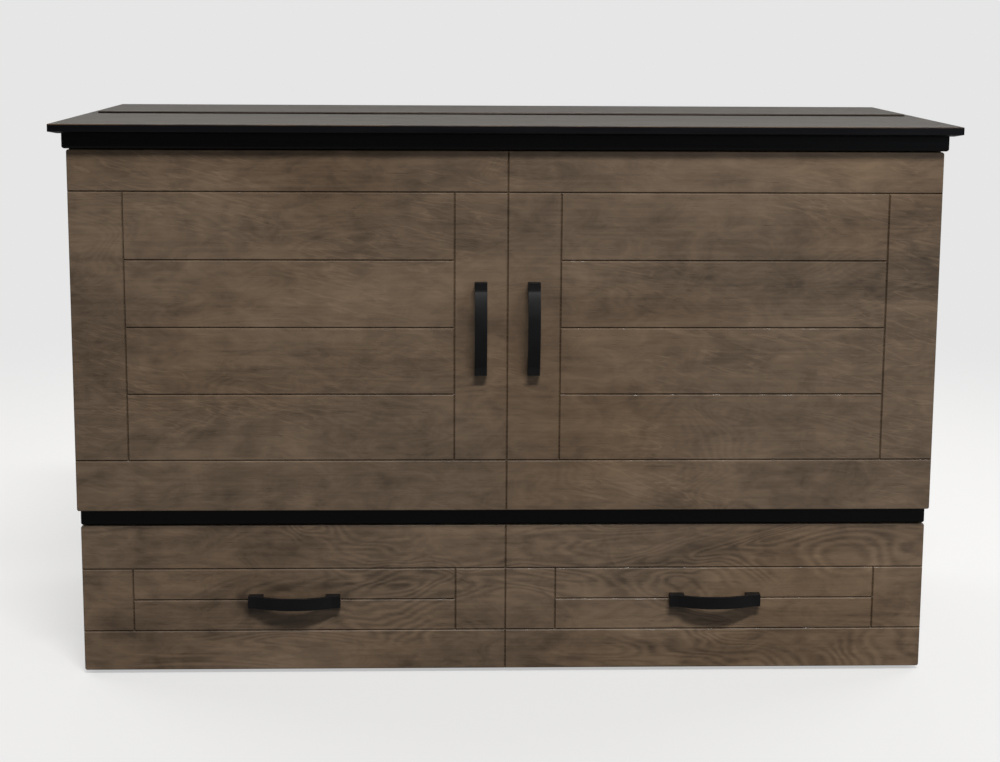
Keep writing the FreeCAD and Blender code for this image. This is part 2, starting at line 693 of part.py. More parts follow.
def drawer_front():
    level = f"(({DRAWER_TOP} - drawer_top_rail + floor_gap + drawer_bottom_rail) / 2)"
    handles = {name: f"{sign} * {HALF} / 2" for name, sign in (("left", -1), ("right", 1))}
    centres = [spot for x in handles.values() for spot in bolt_places(False, (x, level))]
    blank = front_board("drawer_front_blank", DRAWER_FACE, "panel_thick", "floor_gap", DRAWER_TOP)
    groove_front(blank, DRAWER_FACE, "floor_gap", DRAWER_TOP, "drawer_stile",
                 "drawer_bottom_rail", "drawer_top_rail", 2)
    holes = bolt_rods("drawer_bolt_hole", DRAWER_FACE, "panel_thick", centres, "bolt_gap")
    pieces = [cut("drawer_front", blank, fused("drawer_bolt_holes", holes))]
    for number, (name, x) in enumerate(handles.items()):
        pieces.append(handle(f"drawer_handle_{name}", DRAWER_FACE, (x, level), False,
                             holes[2 * number:2 * number + 2]))
    pieces.append(group("drawer_handle_bolts",
                        bolt_rods("drawer_bolt", DRAWER_FACE, "panel_thick", centres, "0")))
    return pieces


def drawer_box():
    height = ("drawer_low", BOX_TOP)
    inside = (f"-{INSIDE}", INSIDE)
    pieces = [board(f"drawer_side_{name}", mirrored(sign, INSIDE, OUTSIDE),
                    (DRAWER_BACK, BOX_END), height) for name, sign in (("left", -1), ("right", 1))]
    pieces.append(board("drawer_back", inside, (BOX_BACK, BOX_END), height))
    pieces.append(board("drawer_bottom", inside, (DRAWER_BACK, BOX_BACK), (BOTTOM_LOW, BOTTOM_TOP)))
    pieces.append(board("drawer_divider", ("-drawer_board / 2", "drawer_board / 2"),
                        (DRAWER_BACK, BOX_BACK), (BOTTOM_TOP, BOX_TOP)))
    blocks = []
    for sign in (-1, 1):
        for end, y in (("front", (DRAWER_BACK, f"{DRAWER_BACK} + corner_block")),
                       ("back", (f"{BOX_BACK} - corner_block", BOX_BACK))):
            blocks.append(board(f"corner_block_{end}_{sign}",
                                mirrored(sign, f"{INSIDE} - corner_block", INSIDE), y,
                                (BOTTOM_TOP, f"{BOTTOM_TOP} + corner_block_height")))
    return pieces + [group("drawer_corner_blocks", blocks)]


def drawer_wheels():
    """Fixed casters under the drawer bottom: a fork, an axle and a wheel at each corner."""
    forks = []
    axles = []
    wheels = []
    cheek = "(wheel_width / 2 + fork_gap)"
    outer = f"({cheek} + fork_thick)"
    for side, sign in (("left", -1), ("right", 1)):
        x = f"({sign} * ({HALF} - wheel_inset))"
        for end, y in (("front", f"({DRAWER_BACK} + wheel_end_inset)"),
                       ("back", f"({BOX_END} - wheel_end_inset)")):
            name = f"{end}_{side}"
            plate = board("fork_plate_" + name, (f"{x} - fork_plate / 2", f"{x} + fork_plate / 2"),
                          (f"{y} - fork_plate / 2", f"{y} + fork_plate / 2"),
                          (f"{BOTTOM_LOW} - fork_thick", BOTTOM_LOW))
            cheeks = [board(f"fork_cheek_{name}_{way}",
                            (f"{x} + {low}", f"{x} + {high}"),
                            (f"{y} - fork_width / 2", f"{y} + fork_width / 2"),
                            ("wheel_radius - 3 * axle_radius", BOTTOM_LOW))
                      for way, (low, high) in ((way, mirrored(way, cheek, outer)) for way in (-1, 1))]
            start = f"{x} - {outer} - overcut"
            length = f"2 * {outer} + 2 * overcut"
            hole = rod("fork_hole_" + name, "axle_radius + axle_gap", length, (start, y, "wheel_radius"))
            forks.append(cut("fork_" + name, fused("fork_blank_" + name, [plate] + cheeks), hole))
            axles.append(rod("axle_" + name, "axle_radius", length, (start, y, "wheel_radius")))
            wheels.append(wheel(f"drawer_wheel_{name}", (x, y)))
    return [group("caster_forks", forks), group("caster_axles", axles)] + wheels


def wheel(label, centre):
    """A wheel turned about X, with a chamfered tread and a bored hub."""
    body = doc.addObject("PartDesign::Body", label)
    half = "wheel_width / 2"
    bore = "axle_radius + axle_gap"
    section = [(f"-{half}", bore), (half, bore), (half, "wheel_radius - wheel_chamfer"),
               (f"{half} - wheel_chamfer", "wheel_radius"), (f"wheel_chamfer - {half}", "wheel_radius"),
               (f"-{half}", "wheel_radius - wheel_chamfer")]
    sketch = sketch_on(body, "XZ_Plane", "0", section)
    turned = body.newObject("PartDesign::Revolution", label + "_turned")
    turned.Profile = sketch
    turned.ReferenceAxis = (sketch, ["H_Axis"])
    turned.Angle = 360
    place(body, centre[0], centre[1], "wheel_radius")
    return body


def finish(pieces):
    """Check everything, then write each sub-part to its own file."""
    doc.recompute()
    for item in doc.Objects:
        if "Invalid" in item.State or "Error" in item.State:
            raise RuntimeError(f"{item.Label}: {item.State}")
    for piece in pieces:
        if piece.Shape.isNull() or not piece.Shape.isValid():
            raise RuntimeError(f"{piece.Label} has no valid shape")
    os.makedirs("parts", exist_ok=True)
    for piece in pieces:
        piece.Shape.exportStep(f"parts/{piece.Label}.step")
    print(len(pieces), "nodes")


finish(carcass() + carcass_hardware() + top() + front_panel() + foot_panel() + door_hinges()
       + mattress() + drawer_front() + drawer_box() + drawer_wheels())
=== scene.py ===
"""A cabinet bed, closed: stained veneer fronts, black lid and rail, and a folded mattress inside."""

import json
import math

import bmesh
import bpy
from mathutils import Matrix, Vector


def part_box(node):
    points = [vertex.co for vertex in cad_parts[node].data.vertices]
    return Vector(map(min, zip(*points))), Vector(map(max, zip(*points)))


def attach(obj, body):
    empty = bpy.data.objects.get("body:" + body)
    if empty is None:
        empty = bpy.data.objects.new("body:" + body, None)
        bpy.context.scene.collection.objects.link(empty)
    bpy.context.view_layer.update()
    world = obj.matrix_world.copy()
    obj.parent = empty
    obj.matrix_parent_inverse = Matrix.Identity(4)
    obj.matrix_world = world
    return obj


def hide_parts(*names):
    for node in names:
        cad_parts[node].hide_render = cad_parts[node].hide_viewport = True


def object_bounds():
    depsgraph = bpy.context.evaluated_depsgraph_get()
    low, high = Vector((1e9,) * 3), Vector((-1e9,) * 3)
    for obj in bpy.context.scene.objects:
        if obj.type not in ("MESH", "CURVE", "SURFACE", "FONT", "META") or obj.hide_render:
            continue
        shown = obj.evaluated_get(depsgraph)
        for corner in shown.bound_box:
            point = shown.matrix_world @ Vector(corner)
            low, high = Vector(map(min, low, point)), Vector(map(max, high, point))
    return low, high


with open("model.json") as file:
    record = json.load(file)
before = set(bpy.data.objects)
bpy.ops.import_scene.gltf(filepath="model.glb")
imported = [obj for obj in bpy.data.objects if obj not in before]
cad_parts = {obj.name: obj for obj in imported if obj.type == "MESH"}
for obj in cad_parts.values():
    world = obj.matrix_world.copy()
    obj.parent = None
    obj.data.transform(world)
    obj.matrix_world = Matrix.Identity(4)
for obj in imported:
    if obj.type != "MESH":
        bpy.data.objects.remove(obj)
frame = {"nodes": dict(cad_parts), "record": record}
cad_low, cad_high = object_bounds()

MM = 0.001
NODES = frame["nodes"]
BODY_OF = {node: body for body, nodes in frame["record"]["behaviour"]["bodies"].items() for node in nodes}
SLOT_OF = {entry["node"]: entry["material_slot"] for entry in frame["record"]["subparts"]}

# Sizes of what the frame doesn't hold
GROOVE_DEPTH = 2.6 * MM
BOARD_ARRIS = 0.8 * MM
HANDLE_ARRIS = 1.2 * MM
GROOVE_ARRIS = 0.7 * MM
MATTRESS_SWELL = 6 * MM
MATTRESS_VOXEL = 12 * MM
MATTRESS_CORNER = 14 * MM
COVER_PRESSURE = 4.0
COVER_FRAMES = 20
COVER_SLACK = 0.5 * MM
QUILT_PITCH = 108 * MM
QUILT_DEPTH = 5 * MM
QUILT_WIDTH = 9 * MM
QUILT_BORDER = 45 * MM
PIPING_RADIUS = 3.6 * MM
PIPING_INSET = 1.2 * MM
PIPING_CORNER = 16 * MM
# Width of the painted highlight along the front top edge of the lid's front leaf
EDGE_HIGHLIGHT_WIDTH = 2.4 * MM

# Hinge leaves and their screws
LEAF_THICK = 1.2 * MM
SCREW_COUNT = 12
SCREW_INSET = 9 * MM
SCREW_RADIUS = 3.2 * MM
SCREW_PROUD = 0.45 * MM
SLOT_SLOPE = 0.3 * MM
SLOT_DEPTH = 0.25 * MM

# Wheels
TYRE_ROUND = 1.6 * MM
HUB_INSET = 1 * MM
HUB_BORE = 3.2 * MM
HUB_WEB = 2.5 * MM
RIM_THICK = 2 * MM
RIM_BITE = 0.2 * MM
WHEEL_RIBS = 6
RIB_THICK = 1.8 * MM
RIB_BITE = 1 * MM

# Webbing
STRAP_ARRIS = 0.3 * MM
STITCH_PATCHES = 6
STITCH_LENGTH = 34 * MM
STITCH_INSET = 4 * MM
THREAD_WIDTH = 0.9 * MM
THREAD_THICK = 0.35 * MM

STAIN_DARK = (0.040, 0.0262, 0.0165)
STAIN_LIGHT = (0.170, 0.118, 0.077)

# The studio
BACKDROP = (0.791, 0.791, 0.791)
FLOOR_SEEN = (0.70, 0.70, 0.70)
FLOOR_FELT = (0.16, 0.16, 0.16)
FLOOR_GLOW = 0.6
ROOM_LIGHT = 0.10

# Each light: its place, its size, its power and its colour
LIGHTS = {
    "key_light": ((0.9, -4.7, 7.3), (3.4, 0.7), 820.0, (1.0, 0.985, 0.96)),
    "back_light": ((0.0, 3.4, 3.1), (5.0, 1.6), 66.0, (1.0, 0.93, 0.84)),
    "fill_light": ((4.5, -4.0, 2.2), (2.0, 2.0), 85.0, (0.88, 0.95, 1.0)),
    "left_light": ((-4.2, 2.4, 2.7), (3.0, 3.0), 130.0, (1.0, 1.0, 1.0)),
    "right_light": ((4.2, 2.4, 2.7), (3.0, 3.0), 130.0, (1.0, 1.0, 1.0)),
}

CAMERA_PLACE = (-0.0938, -3.1464, 1.2603)
CAMERA_TURN = (-1.58, 7.613, 0.337)
LENS_WIDTHS = 1.5617
LENS_SHIFT = -0.156
SENSOR_WIDTH = 36.0


# ---------------------------------------------------------------- shader arithmetic


class Field:
    """A value that varies over a surface. Arithmetic on it adds Math nodes to its finish."""

    def __init__(self, finish, socket):
        self.finish = finish
        self.socket = socket

    def maths(self, operation, first, second=0.0):
        return self.finish.node("ShaderNodeMath", {"operation": operation}, {0: first, 1: second})

    def __add__(self, other):
        return self.maths("ADD", self, other)

    __radd__ = __add__

    def __sub__(self, other):
        return self.maths("SUBTRACT", self, other)

    def __rsub__(self, other):
        return self.maths("SUBTRACT", other, self)

    def __mul__(self, other):
        return self.maths("MULTIPLY", self, other)

    __rmul__ = __mul__

    def __abs__(self):
        return self.maths("ABSOLUTE", self)

    def __mod__(self, other):
        return self.maths("FLOORED_MODULO", self, other)


class Finish:
    """One material, with the nodes that make it."""

    def __init__(self, name):
        self.material = bpy.data.materials.new(name)
        self.material.use_nodes = True
        self.tree = self.material.node_tree
        self.tree.nodes.clear()
        self.place = self.node("ShaderNodeTexCoord", output="Object")

    def node(self, kind, settings=None, sockets=None, output=0):
        """Adds a node: its settings first, then the values or links of its sockets."""
        node = self.tree.nodes.new(kind)
        for name, value in (settings or {}).items():
            setattr(node, name, value)
        for key, value in (sockets or {}).items():
            if isinstance(value, Field):
                self.tree.links.new(value.socket, node.inputs[key])
            else:
                node.inputs[key].default_value = value
        return Field(self, node.outputs[output])

    def turned(self, rotation=(0, 0, 0), stretch=(1, 1, 1), shift=(0, 0, 0), place=None):
        sockets = {"Vector": place or self.place, "Location": shift, "Rotation": rotation, "Scale": stretch}
        return self.node("ShaderNodeMapping", {"vector_type": "POINT"}, sockets)

    def noise(self, stretch, place=None, detail=2.0, roughness=0.5, distortion=0.0, shift=(0, 0, 0)):
        """Smooth noise, about 0.5 on average, with `stretch` features to the metre along each axis."""
        sockets = {
            "Vector": self.turned(stretch=stretch, shift=shift, place=place),
            "Scale": 1.0,
            "Detail": detail,
            "Roughness": roughness,
            "Distortion": distortion,
        }
        return self.node("ShaderNodeTexNoise", {"noise_dimensions": "3D"}, sockets)

    def along(self, axis, place=None):
        return self.node("ShaderNodeSeparateXYZ", None, {0: place or self.place}, output=axis)

    def wave(self, value):
        return value.maths("SINE", value)

    def between(self, value, low, high):
        """0 below `low`, 1 above `high`, smooth between them."""
        sockets = {"Value": value, "From Min": low, "From Max": high}
        return self.node("ShaderNodeMapRange", {"interpolation_type": "SMOOTHSTEP"}, sockets)

    def within(self, value, low, high, blend):
        """1 where `value` lies between `low` and `high`, fading out over `blend`."""
        return self.between(value, low, low + blend) * (1 - self.between(value, high - blend, high))

    def mix(self, factor, first, second, blend="MIX"):
        first = first if isinstance(first, Field) else (*first, 1.0)
        second = second if isinstance(second, Field) else (*second, 1.0)
        settings = {"data_type": "RGBA", "blend_type": blend, "clamp_factor": True}
        return self.node("ShaderNodeMix", settings, {0: factor, 6: first, 7: second}, output=2)

    def bump(self, height, depth, strength):
        sockets = {"Height": height, "Distance": depth, "Strength": strength}
        return self.node("ShaderNodeBump", None, sockets)

    def surface(self, colour, roughness, normal=None, **constants):
        """Ends the finish with its shader. What varies goes in as a Field, the rest as plain values."""
        sockets = {"Base Color": colour, "Roughness": roughness}
        if normal:
            sockets["Normal"] = normal
        for name, value in constants.items():
            sockets[name.replace("_", " ")] = value
        shader = self.node("ShaderNodeBsdfPrincipled", None, sockets)
        self.node_end(shader)
        return self.material

    def node_end(self, shader):
        end = self.tree.nodes.new("ShaderNodeOutputMaterial")
        self.tree.links.new(shader.socket, end.inputs["Surface"])


# ---------------------------------------------------------------- finishes


def wood_grain(finish, upright, seed, figure, wisps):
    """Tone of stained birch, about 0.5 on average, and the height of its grain."""
    rotation = (0, math.radians(90), 0) if upright else (0, 0, 0)
    place = finish.turned(rotation=rotation, shift=(seed * 3.7, seed * 1.3, seed * 2.1))
    cloud = finish.noise((1.3, 4.5, 4.5), place, detail=2, distortion=0.4)
    mottle = finish.noise((6.5, 19, 19), place, detail=4, roughness=0.62, distortion=0.8)
    blotch = finish.noise((13, 24, 24), place, detail=3, roughness=0.68, distortion=1.1, shift=(3, 0, 0))
    flame = finish.noise((15, 4.5, 4.5), place, detail=2, distortion=0.6)
    streak = finish.noise((5, 190, 190), place, detail=3, roughness=0.6)
    tone = 0.5 + (cloud - 0.5) * 1.1 + (mottle - 0.5) * 0.75 + (flame - 0.5) * 0.3 + (streak - 0.5) * 0.4
    tone = tone + (blotch - 0.5) * 0.85

    wander = finish.noise((2.3, 7.0, 7.0), place, detail=2, roughness=0.4, distortion=0.9)
    rings = finish.wave(wander * 150 + mottle * 5 + streak * 1.5)
    ring_patch = finish.between(finish.noise((2.2, 6, 6), place, detail=1), 0.36, 0.58)
    tone = tone + rings * ring_patch * figure

    slanted = finish.turned(rotation=(0, math.radians(-13), 0), place=place)
    curl = finish.noise((7, 62, 62), slanted, detail=1.5, roughness=0.4, distortion=1.2)
    curl_patch = finish.between(finish.noise((3, 5, 5), place, detail=1, shift=(7, 0, 0)), 0.44, 0.6)
    tone = tone + finish.within(curl, 0.54, 0.62, 0.035) * curl_patch * wisps

    fleck = finish.between(finish.noise((42, 520, 520), place, detail=1), 0.66, 0.78)
    height = streak * 0.6 + mottle * 0.3 - fleck * 0.7
    return tone - fleck * 0.14, height


def grooves(finish, node):
    """1 on the walls and floor of the grooves routed in the front of a node."""
    low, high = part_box(node)
    clear = 2.5 * MM
    blend = 0.4 * MM
    cut = finish.within(finish.along(1), low.y + 0.3 * MM, low.y + GROOVE_DEPTH + blend, blend)
    cut = cut * finish.within(finish.along(0), low.x + clear, high.x - clear, blend)
    return cut * finish.within(finish.along(2), low.z + clear, high.z - clear, blend)


def veneer(name, upright=False, seed=0.0, figure=0.06, wisps=0.1, grooved=None, pale=1.0):
    """Dark stained birch veneer. `grooved` is the node whose front face has grooves routed in it; its
    grooves get painted shade.
    """
    finish = Finish(name)
    tone, height = wood_grain(finish, upright, seed, figure, wisps)
    dark = tuple(value * pale for value in STAIN_DARK)
    light = tuple(value * pale for value in STAIN_LIGHT)
    brown = finish.mix(tone, dark, light)
    warm = finish.noise((1.8, 3.1, 3.1), detail=1, shift=(seed + 4.0, 0, 0))
    brown = finish.mix(finish.between(warm, 0.40, 0.70) * 0.6, brown, (1.0, 0.90, 0.76), blend="MULTIPLY")
    roughness = 0.44 + (height - 0.4) * 0.14
    if grooved:
        cut = grooves(finish, grooved)
        uneven_groove_shade = finish.noise((9, 9, 9), detail=2)
        # Painted shade: a darker brown inside the grooves, uneven along them
        brown = finish.mix(cut * (0.15 + uneven_groove_shade * 0.3), brown, (0.017, 0.012, 0.009))
        roughness = roughness - cut * 0.17
    return finish.surface(brown, roughness, finish.bump(height, 0.35 * MM, 0.5), IOR=1.46)


def lacquer(name, edge_highlight_node=None):
    """Black lacquer over wood, with its grain just felt. A node passed in gets a painted highlight: a warm
    brown line along its front top edge.
    """
    finish = Finish(name)
    streak = finish.noise((5, 170, 170), detail=3, roughness=0.6)
    cloud = finish.noise((6, 9, 9), detail=3)
    black = finish.mix(streak, (0.0007, 0.0007, 0.0013), (0.0020, 0.0020, 0.0032))
    if edge_highlight_node:
        # Painted highlight: a warm brown line along the front top edge, patchy along its length
        low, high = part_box(edge_highlight_node)
        edge = finish.between(finish.along(2), high.z - EDGE_HIGHLIGHT_WIDTH, high.z - EDGE_HIGHLIGHT_WIDTH / 2)
        edge = edge * (1 - finish.between(finish.along(1), low.y + EDGE_HIGHLIGHT_WIDTH, low.y + 2 * EDGE_HIGHLIGHT_WIDTH))
        patchy_highlight = finish.between(finish.noise((14, 90, 90), detail=3), 0.32, 0.62)
        black = finish.mix(edge * (0.25 + patchy_highlight * 0.6), black, (0.075, 0.045, 0.026))
    sheen = 0.40 + (cloud - 0.5) * 0.12 + (streak - 0.5) * 0.16
    return finish.surface(black, sheen, finish.bump(streak, 0.25 * MM, 0.45), IOR=1.30)


def stained_board(name, dark, light, rotation=(0, 0, 0)):
    """Plain board: stained or clear, with straight grain."""
    finish = Finish(name)
    place = finish.turned(rotation=rotation)
    streak = finish.noise((3, 120, 120), place, detail=4, roughness=0.6, distortion=0.2)
    cloud = finish.noise((2.5, 7, 7), place, detail=3, distortion=0.4)
    pore = finish.between(finish.noise((30, 420, 420), place, detail=1), 0.64, 0.76)
    tone = 0.5 + (streak - 0.5) * 0.9 + (cloud - 0.5) * 1.0 - pore * 0.18
    colour = finish.mix(tone, dark, light)
    return finish.surface(colour, 0.5 + (streak - 0.5) * 0.2, finish.bump(streak - pore, 0.25 * MM, 0.4))


def powder_coat(name):
    """Satin black powder coat on steel."""
    finish = Finish(name)
    peel = finish.noise((900, 900, 900), detail=2)
    cloud = finish.noise((40, 40, 40), detail=2)
    black = finish.mix(cloud, (0.0018, 0.0018, 0.0024), (0.0035, 0.0034, 0.0042))
    return finish.surface(black, 0.46 + (cloud - 0.5) * 0.12, finish.bump(peel, 0.05 * MM, 0.35), IOR=1.33)


def plated_steel(name, dark, light, roughness=0.32):
    """Plated steel, brushed along its length."""
    finish = Finish(name)
    brushed = finish.noise((14, 900, 900), detail=2)
    cloud = finish.noise((22, 30, 30), detail=3)
    colour = finish.mix(cloud * 0.6 + brushed * 0.4, dark, light)
    sheen = roughness + (brushed - 0.5) * 0.22 + (cloud - 0.5) * 0.1
    return finish.surface(colour, sheen, finish.bump(brushed, 0.03 * MM, 0.4), Metallic=1.0)


def moulded(name, dark, light, roughness=0.48, grit=1100):
    """Moulded plastic or rubber with a fine spark-eroded texture."""
    finish = Finish(name)
    fine = finish.noise((grit, grit, grit), detail=2)
    cloud = finish.noise((35, 35, 35), detail=2)
    colour = finish.mix(cloud, dark, light)
    return finish.surface(colour, roughness + (fine - 0.5) * 0.15, finish.bump(fine, 0.06 * MM, 0.5))


def knitted(name, dark, light, rib, pitch):
    """Stretch knit: rows of loops, `pitch` apart, more ribbed as `rib` rises."""
    finish = Finish(name)
    turn = math.tau / pitch
    rows = finish.wave(finish.along(2) * turn)
    wales = finish.wave((finish.along(0) + finish.along(1)) * turn)
    loops = rows * wales * (1 - rib) + wales * rib
    fuzz = finish.noise((700, 700, 700), detail=3)
    cloud = finish.noise((5, 5, 5), detail=3)
    tone = 0.55 + loops * 0.16 + (cloud - 0.5) * 0.5 + (fuzz - 0.5) * 0.4
    colour = finish.mix(tone, dark, light)
    height = loops * 0.5 + fuzz * 0.5
    return finish.surface(colour, 0.86, finish.bump(height, 0.5 * MM, 0.6), Sheen_Weight=0.35)


def woven_strap(name, dark, light):
    """Flat polypropylene webbing, woven in a fine herringbone."""
    finish = Finish(name)
    run = finish.along(0) * (math.tau / (3.2 * MM))
    cross = abs(((finish.along(1) * (1 / (11 * MM))) % 1.0) - 0.5) * 14.0
    twill = finish.wave(run + cross)
    fuzz = finish.noise((600, 900, 900), detail=2)
    colour = finish.mix(0.5 + twill * 0.3 + (fuzz - 0.5) * 0.5, dark, light)
    return finish.surface(colour, 0.7, finish.bump(twill * 0.6 + fuzz * 0.4, 0.3 * MM, 0.6))


def finishes():
    """The finish of each material slot."""
    return {
        "stained_veneer": veneer("stained_veneer_side", upright=True, seed=2.3, figure=0.06),
        "black_lacquer": lacquer("black_lacquer"),
        "carcass_board": stained_board("stained_carcass_board", (0.045, 0.032, 0.023), (0.15, 0.115, 0.088)),
        "backing_board": stained_board("stained_backing_board", (0.04, 0.029, 0.021), (0.12, 0.092, 0.07)),
        "drawer_board": stained_board("clear_birch_board", (0.36, 0.25, 0.155), (0.62, 0.485, 0.345)),
        "solid_birch": stained_board("clear_birch_strip", (0.38, 0.265, 0.165), (0.66, 0.52, 0.37)),
        "black_steel": powder_coat("black_powder_coat"),
        "zinc_steel": plated_steel("zinc_plate", (0.42, 0.42, 0.40), (0.66, 0.65, 0.62)),
        "bronze_hinge": plated_steel("bronzed_steel", (0.018, 0.014, 0.012), (0.045, 0.034, 0.027), 0.46),
        "black_plastic": moulded("black_nylon", (0.008, 0.008, 0.008), (0.022, 0.022, 0.022)),
        "wheel_plastic": moulded("grey_wheel_rubber", (0.045, 0.045, 0.048), (0.095, 0.095, 0.1)),
        "rubber_pad": moulded("clear_bumper", (0.02, 0.02, 0.02), (0.05, 0.05, 0.05), 0.6, 800),
        "mattress_cover": knitted("mattress_knit", (0.52, 0.50, 0.46), (0.80, 0.785, 0.75), 0.25, 3.0 * MM),
        "webbing": woven_strap("grey_webbing", (0.16, 0.16, 0.165), (0.36, 0.36, 0.37)),
    }


def birch(name, rotation):
    """Clear birch whose grain is turned to run along the piece."""
    return stained_board(name, (0.37, 0.257, 0.16), (0.64, 0.5, 0.355), rotation=rotation)


FINISHES = finishes()
BACKWARDS = birch("clear_birch_backwards", (0, 0, math.radians(90)))
UPWARDS = birch("clear_birch_upwards", (0, math.radians(90), 0))
OWN_FINISH = {
    "drawer_side_left": BACKWARDS,
    "drawer_side_right": BACKWARDS,
    "drawer_divider": BACKWARDS,
    "deck_cleats": BACKWARDS,
    "drawer_guides": BACKWARDS,
    "drawer_corner_blocks": UPWARDS,
    "foot_panel_battens": UPWARDS,
    # The lid's front leaf gets the painted warm highlight along its front top edge
    "top_front_leaf": lacquer("black_lacquer_edge_highlight", edge_highlight_node="top_front_leaf"),
    "front_panel_board": veneer("stained_veneer_door", seed=0.4, figure=0.05, wisps=0.2,
                                grooved="front_panel_board"),
    "drawer_front": veneer("stained_veneer_drawer", seed=1.6, figure=0.145, wisps=0.07,
                           grooved="drawer_front", pale=1.16),
}


def finish_of(node):
    return OWN_FINISH.get(node) or FINISHES[SLOT_OF[node]]


def dress(thing, *materials):
    thing.data.materials.clear()
    for material in materials:
        thing.data.materials.append(material)


# ---------------------------------------------------------------- building pieces


def new_piece(name, shape, body, slot, nodes=(), material=None, smooth_under=40):
    """Turns a bmesh into a finished piece that rides on a body."""
    mesh = bpy.data.meshes.new(name)
    shape.to_mesh(mesh)
    shape.free()
    for face in mesh.polygons:
        face.use_smooth = True
    mesh.set_sharp_from_angle(angle=math.radians(smooth_under))
    piece = bpy.data.objects.new(name, mesh)
    bpy.context.scene.collection.objects.link(piece)
    dress(piece, material or FINISHES[slot])
    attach(piece, body)
    if nodes:
        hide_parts(*nodes)
    return piece


def merged(node):
    """The node's own shape as a bmesh, with its triangles joined into flat faces."""
    shape = bmesh.new()
    shape.from_mesh(NODES[node].data)
    bmesh.ops.remove_doubles(shape, verts=shape.verts, dist=0.002 * MM)
    bmesh.ops.dissolve_limit(
        shape, angle_limit=math.radians(0.4), verts=shape.verts, edges=shape.edges,
        use_dissolve_boundaries=False,
    )
    return shape


def soften(shape, width, over, segments):
    """Takes the sharpness off every edge that turns more than `over` degrees."""
    sharp = [
        edge for edge in shape.edges
        if edge.is_manifold and edge.calc_face_angle(0.0) > math.radians(over)
    ]
    bmesh.ops.bevel(
        shape, geom=sharp, offset=width, offset_type="OFFSET", affect="EDGES",
        segments=segments, profile=0.5, material=-1, clamp_overlap=True,
    )


def softened(node, width, over=32, segments=2):
    """A node's shape with its edges eased, standing for that node."""
    shape = merged(node)
    soften(shape, width, over, segments)
    piece = new_piece(
        f"{node}_eased", shape, BODY_OF[node], SLOT_OF[node], (node,), finish_of(node), smooth_under=50
    )
    shading = piece.modifiers.new("flat_faces_stay_flat", "WEIGHTED_NORMAL")
    shading.keep_sharp = True


# ---------------------------------------------------------------- boards and fronts

EASED_BOARDS = (
    "side_panel_left", "side_panel_right", "back_panel", "top_back_stretcher", "floor_back_stretcher",
    "seam_stretcher", "deck_board", "deck_cleats", "drawer_guides", "foot_panel", "foot_panel_battens",
    "drawer_side_left", "drawer_side_right", "drawer_back", "drawer_bottom", "drawer_divider",
    "drawer_corner_blocks",
)

for node, thing in NODES.items():
    dress(thing, finish_of(node))

for board in EASED_BOARDS:
    softened(board, BOARD_ARRIS)

for front in ("front_panel_board", "drawer_front"):
    softened(front, GROOVE_ARRIS)

HANDLES = ("door_handle_left", "door_handle_right", "drawer_handle_left", "drawer_handle_right")
for handle in HANDLES:
    softened(handle, HANDLE_ARRIS, over=40, segments=3)


# ---------------------------------------------------------------- wheels and screws


def lathed(outline, centre, steps=48):
    """Turns a closed outline of (along the axle, radius) points about an axle along X."""
    shape = bmesh.new()
    ring = [shape.verts.new((along, 0.0, radius)) for along, radius in outline]
    sides = [shape.edges.new(pair) for pair in zip(ring, ring[1:] + ring[:1])]
    bmesh.ops.spin(
        shape, geom=ring + sides, cent=(0, 0, 0), axis=(1, 0, 0), angle=math.tau,
        steps=steps, use_merge=True,
    )
    bmesh.ops.remove_doubles(shape, verts=shape.verts, dist=0.01 * MM)
    bmesh.ops.recalc_face_normals(shape, faces=shape.faces)
    bmesh.ops.translate(shape, vec=centre, verts=shape.verts)
    return shape


def block(shape, centre, size, turn):
    """Adds a block to the shape, turned about its own middle."""
    matrix = Matrix.Translation(centre) @ turn @ Matrix.Diagonal((*size, 1.0))
    bmesh.ops.create_cube(shape, size=1.0, matrix=matrix)


def wheel(node):
    """A soft tyre on a ribbed hub."""
    low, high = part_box(node)
    centre = (low + high) / 2
    radius = (high.z - low.z) / 2
    half = (high.x - low.x) / 2
    rim = radius * 0.7
    flat = half - TYRE_ROUND
    eased = half - TYRE_ROUND * 0.3
    shoulder = radius - TYRE_ROUND
    crown = radius - TYRE_ROUND * 0.3
    tyre = [
        (-half, rim), (half, rim), (half, shoulder), (eased, crown),
        (flat, radius), (-flat, radius), (-eased, crown), (-half, shoulder),
    ]
    new_piece(f"{node}_tyre", lathed(tyre, centre), node, "wheel_plastic", (node,))

    side = half - HUB_INSET
    boss, lip = radius * 0.3, rim - RIM_THICK
    seat = rim + RIM_BITE
    hub = [
        (-side, HUB_BORE), (side, HUB_BORE), (side, boss), (HUB_WEB, boss), (HUB_WEB, lip),
        (side, lip), (side, seat), (-side, seat), (-side, lip), (-HUB_WEB, lip), (-HUB_WEB, boss),
        (-side, boss),
    ]
    shape = lathed(hub, centre)
    for step in range(WHEEL_RIBS):
        turn = Matrix.Rotation(math.tau * step / WHEEL_RIBS, 4, "X")
        middle = centre + turn @ Vector((0, 0, (boss + lip) / 2))
        block(shape, middle, (side * 1.7, RIB_THICK, lip - boss + RIB_BITE), turn)
    new_piece(f"{node}_hub", shape, node, "black_plastic", (node,))


